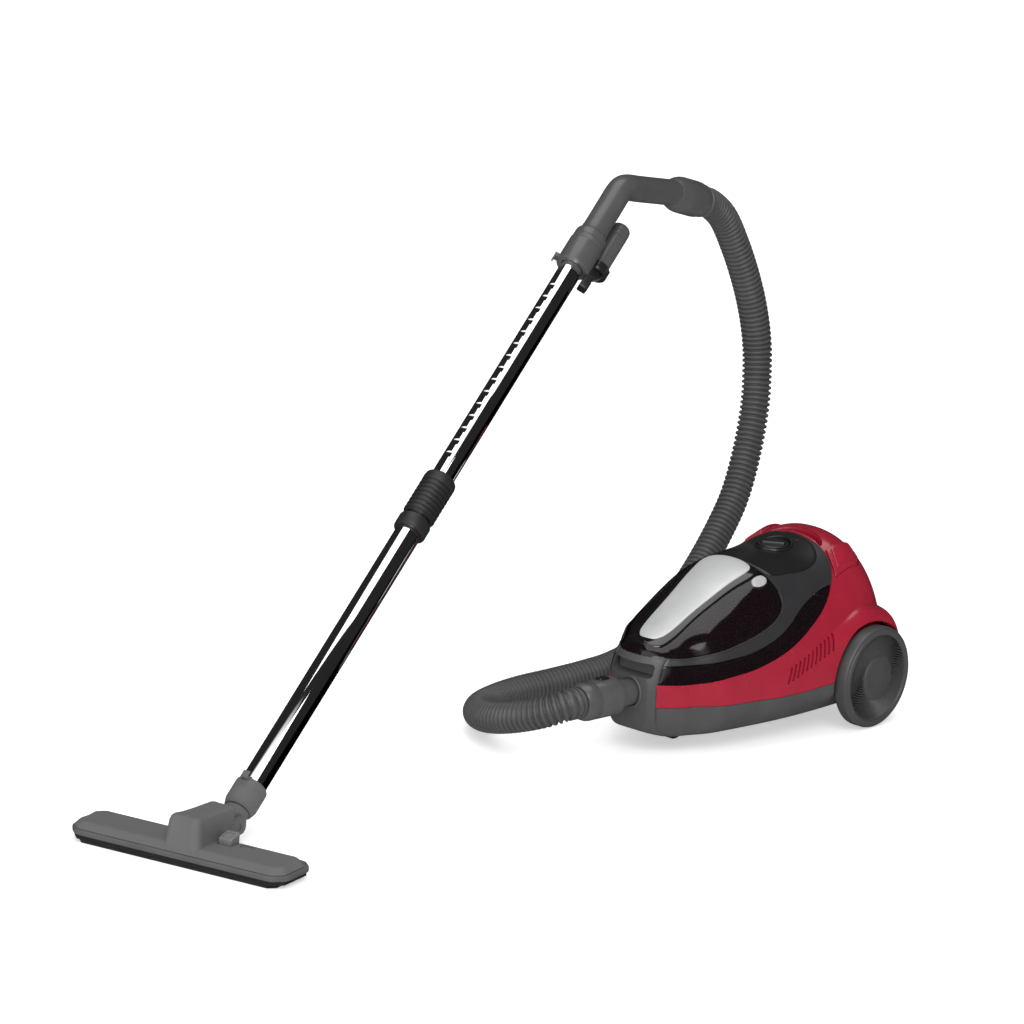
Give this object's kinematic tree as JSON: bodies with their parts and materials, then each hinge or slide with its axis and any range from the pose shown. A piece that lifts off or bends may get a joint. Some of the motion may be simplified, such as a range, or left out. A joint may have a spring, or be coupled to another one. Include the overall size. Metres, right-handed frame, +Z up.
{
  "type": "canister vacuum cleaner",
  "caption": "Canister vacuum cleaner with smoked dust cup, two large rear wheels, a ribbed hose, bent handle, chrome telescopic wand and wide floor nozzle.",
  "frame": {"origin": "on the floor under the middle of the part's box, measured without the free hose", "axes": "+Z up, -Y towards the floor nozzle and the canister's nose, +X towards the canister's left side"},
  "size_m": [0.4245, 1.3154, 0.6434],
  "materials": {
    "red": "deep red gloss, soft highlights",
    "grey": "dark grey, fine satin grain",
    "dark": "near-black satin",
    "smoke": "smoked clear plastic, polished",
    "silver": "brushed plate",
    "button": "light grey satin",
    "steel": "plain",
    "rubber": "matte",
    "foam": "pleated filter paper",
    "bracket": "satin",
    "hose": "ribbed, satin",
    "wheel": "satin",
    "chrome": "polished",
    "sleeve": "ribbed",
    "nozzle_grey": "mid grey, fine grain",
    "bumper": "satin",
    "pedal_grey": "satin",
    "sole": "plain",
    "bristle": "bristle"
  },
  "bodies": {
    "canister": {"base_chassis": "grey", "upper_shell": "red", "nose_block": "grey", "saddle_frame": "grey", "lower_window_left": "smoke", "lower_window_right": "smoke", "control_panel": "dark", "handle_pocket": "red", "motor_can": "steel", "motor_ring_front": "rubber", "motor_ring_rear": "rubber", "reel_bracket": "bracket", "exhaust_filter": "foam", "cord_outlet": "rubber", "rear_axle_left": "steel", "rear_axle_right": "steel", "hose": "hose", "handle_tube": "grey", "handle_collar": "grey", "tool_clip": "dark", "upper_tube": "chrome"},
    "dust_cup": {"cup_window": "smoke", "badge_surround": "dark", "badge_plate": "silver", "dust_bucket": "smoke", "filter_cone": "foam", "cyclone_shroud": "dark"},
    "cup_button": {"cup_button": "button"},
    "power_dial": {"power_dial": "dark"},
    "power_pedal": {"power_pedal": "red"},
    "rewind_pedal": {"rewind_pedal": "red"},
    "impeller": {"impeller": "steel"},
    "cord_reel": {"cord_reel": "dark"},
    "exhaust_grille": {"exhaust_grille": "dark"},
    "rear_wheel_left": {"rear_wheel_left": "wheel"},
    "rear_wheel_right": {"rear_wheel_right": "wheel"},
    "caster_fork": {"caster_fork": "dark", "caster_axle": "steel"},
    "caster_wheel": {"caster_wheel": "rubber"},
    "hose_connector": {"hose_connector": "grey"},
    "connector_button": {"connector_button": "dark"},
    "hose_cuff": {"hose_cuff": "grey"},
    "air_ring": {"air_ring": "grey"},
    "wand_latch": {"wand_latch": "dark"},
    "crevice_tool": {"crevice_tool": "grey"},
    "lower_wand": {"lower_tube": "chrome", "sleeve_ring": "dark", "neck_collar": "nozzle_grey"},
    "release_sleeve": {"release_sleeve": "sleeve"},
    "neck_latch": {"neck_latch": "dark"},
    "neck": {"neck_elbow": "nozzle_grey"},
    "nozzle": {"nozzle_top": "nozzle_grey", "nozzle_tray": "dark", "sole_plate": "sole", "bumper_band": "bumper"},
    "foot_pedal": {"foot_pedal": "pedal_grey"},
    "brush_front": {"brush_front": "bristle"},
    "brush_rear": {"brush_rear": "bristle"},
    "nozzle_wheel_left": {"nozzle_wheel_left": "rubber"},
    "nozzle_wheel_right": {"nozzle_wheel_right": "rubber"}
  },
  "joints": [
    {"name": "dust_cup_lift", "type": "slide", "parent": "canister", "child": "dust_cup", "axis": [0, -0.2588, 0.9659], "range_m": [0, 0.12]},
    {"name": "cup_button_press", "type": "slide", "parent": "dust_cup", "child": "cup_button", "axis": [0, 0, -1], "range_m": [0, 0.0015], "stiffness_N_per_m": 400, "springref_m": -0.002},
    {"name": "power_dial_turn", "type": "hinge", "parent": "canister", "child": "power_dial", "pos_m": [0.06867, 0.43777, 0.203], "axis": [0, 0, 1], "range_deg": [-135, 135]},
    {"name": "power_pedal_press", "type": "slide", "parent": "canister", "child": "power_pedal", "axis": [0, 0, -1], "range_m": [0, 0.003], "stiffness_N_per_m": 600, "springref_m": -0.002},
    {"name": "rewind_pedal_press", "type": "slide", "parent": "canister", "child": "rewind_pedal", "axis": [0, 0, -1], "range_m": [0, 0.003], "stiffness_N_per_m": 600, "springref_m": -0.002},
    {"name": "impeller_spin", "type": "hinge", "parent": "canister", "child": "impeller", "pos_m": [0.11067, 0.41177, 0.098], "axis": [0, 1, 0], "continuous": true},
    {"name": "cord_reel_spin", "type": "hinge", "parent": "canister", "child": "cord_reel", "pos_m": [-0.00233, 0.46577, 0.096], "axis": [1, 0, 0], "continuous": true},
    {"name": "exhaust_grille_pull", "type": "slide", "parent": "canister", "child": "exhaust_grille", "axis": [0, 1, 0], "range_m": [0, 0.03]},
    {"name": "rear_wheel_left_roll", "type": "hinge", "parent": "canister", "child": "rear_wheel_left", "pos_m": [0.19667, 0.48777, 0.064], "axis": [1, 0, 0], "continuous": true},
    {"name": "rear_wheel_right_roll", "type": "hinge", "parent": "canister", "child": "rear_wheel_right", "pos_m": [-0.05933, 0.48777, 0.064], "axis": [1, 0, 0], "continuous": true},
    {"name": "caster_swivel", "type": "hinge", "parent": "canister", "child": "caster_fork", "pos_m": [0.06867, 0.24977, 0.045], "axis": [0, 0, 1], "continuous": true},
    {"name": "caster_wheel_roll", "type": "hinge", "parent": "caster_fork", "child": "caster_wheel", "pos_m": [0.06867, 0.25877, 0.017], "axis": [1, 0, 0], "continuous": true},
    {"name": "hose_connector_swivel", "type": "hinge", "parent": "canister", "child": "hose_connector", "pos_m": [0.06867, 0.17577, 0.076], "axis": [-0.1132, -0.9936, 0], "continuous": true},
    {"name": "connector_button_press", "type": "slide", "parent": "hose_connector", "child": "connector_button", "axis": [0.1125, -0.0128, -0.9936], "range_m": [0, 0.0012], "stiffness_N_per_m": 400, "springref_m": -0.002},
    {"name": "hose_cuff_swivel", "type": "hinge", "parent": "canister", "child": "hose_cuff", "pos_m": [-0.17563, 0.49963, 0.6055], "axis": [-0.1661, 0.9418, -0.2924], "continuous": true},
    {"name": "air_ring_turn", "type": "hinge", "parent": "canister", "child": "air_ring", "pos_m": [-0.14064, 0.3012, 0.57922], "axis": [-0.1401, 0.7947, 0.5906], "range_deg": [-60, 60]},
    {"name": "wand_latch_press", "type": "slide", "parent": "canister", "child": "wand_latch", "axis": [-0.7364, -0.4824, 0.4743], "range_m": [0, 0.002], "stiffness_N_per_m": 400, "springref_m": -0.002},
    {"name": "crevice_tool_pull", "type": "slide", "parent": "canister", "child": "crevice_tool", "axis": [0.1401, -0.7947, -0.5906], "range_m": [0, 0.06]},
    {"name": "wand_telescope", "type": "slide", "parent": "canister", "child": "lower_wand", "axis": [-0.1401, 0.7947, 0.5906], "range_m": [0, 0.3]},
    {"name": "release_sleeve_slide", "type": "slide", "parent": "lower_wand", "child": "release_sleeve", "axis": [0.1401, -0.7947, -0.5906], "range_m": [0, 0.004], "stiffness_N_per_m": 400, "springref_m": -0.004},
    {"name": "neck_latch_press", "type": "slide", "parent": "lower_wand", "child": "neck_latch", "axis": [0.1026, -0.5816, 0.807], "range_m": [0, 0.0015], "stiffness_N_per_m": 400, "springref_m": -0.002},
    {"name": "neck_swivel", "type": "hinge", "parent": "lower_wand", "child": "neck", "pos_m": [-0.01242, -0.42595, 0.03881], "axis": [-0.1401, 0.7947, 0.5906], "range_deg": [-60, 60]},
    {"name": "nozzle_pitch", "type": "hinge", "parent": "neck", "child": "nozzle", "pos_m": [-0.0058, -0.46351, 0.026], "axis": [0.9848, 0.1736, 0], "range_deg": [-45, 28]},
    {"name": "foot_pedal_rock", "type": "hinge", "parent": "nozzle", "child": "foot_pedal", "pos_m": [0.04349, -0.50407, 0.028], "axis": [0.9848, 0.1736, 0], "range_deg": [0, 16]},
    {"name": "brush_front_drop", "type": "slide", "parent": "nozzle", "child": "brush_front", "axis": [0, 0, -1], "range_m": [0, 0.004]},
    {"name": "brush_rear_drop", "type": "slide", "parent": "nozzle", "child": "brush_rear", "axis": [0, 0, -1], "range_m": [0, 0.004]},
    {"name": "nozzle_wheel_left_roll", "type": "hinge", "parent": "nozzle", "child": "nozzle_wheel_left", "pos_m": [0.06658, -0.48527, 0.0045], "axis": [0.9848, 0.1736, 0], "continuous": true},
    {"name": "nozzle_wheel_right_roll", "type": "hinge", "parent": "nozzle", "child": "nozzle_wheel_right", "pos_m": [-0.07129, -0.50958, 0.0045], "axis": [0.9848, 0.1736, 0], "continuous": true}
  ],
  "couplings": [
    {"joint": "brush_front_drop", "follows": "foot_pedal_rock", "m_per_rad": 0.01431},
    {"joint": "brush_rear_drop", "follows": "foot_pedal_rock", "m_per_rad": 0.01431}
  ]
}
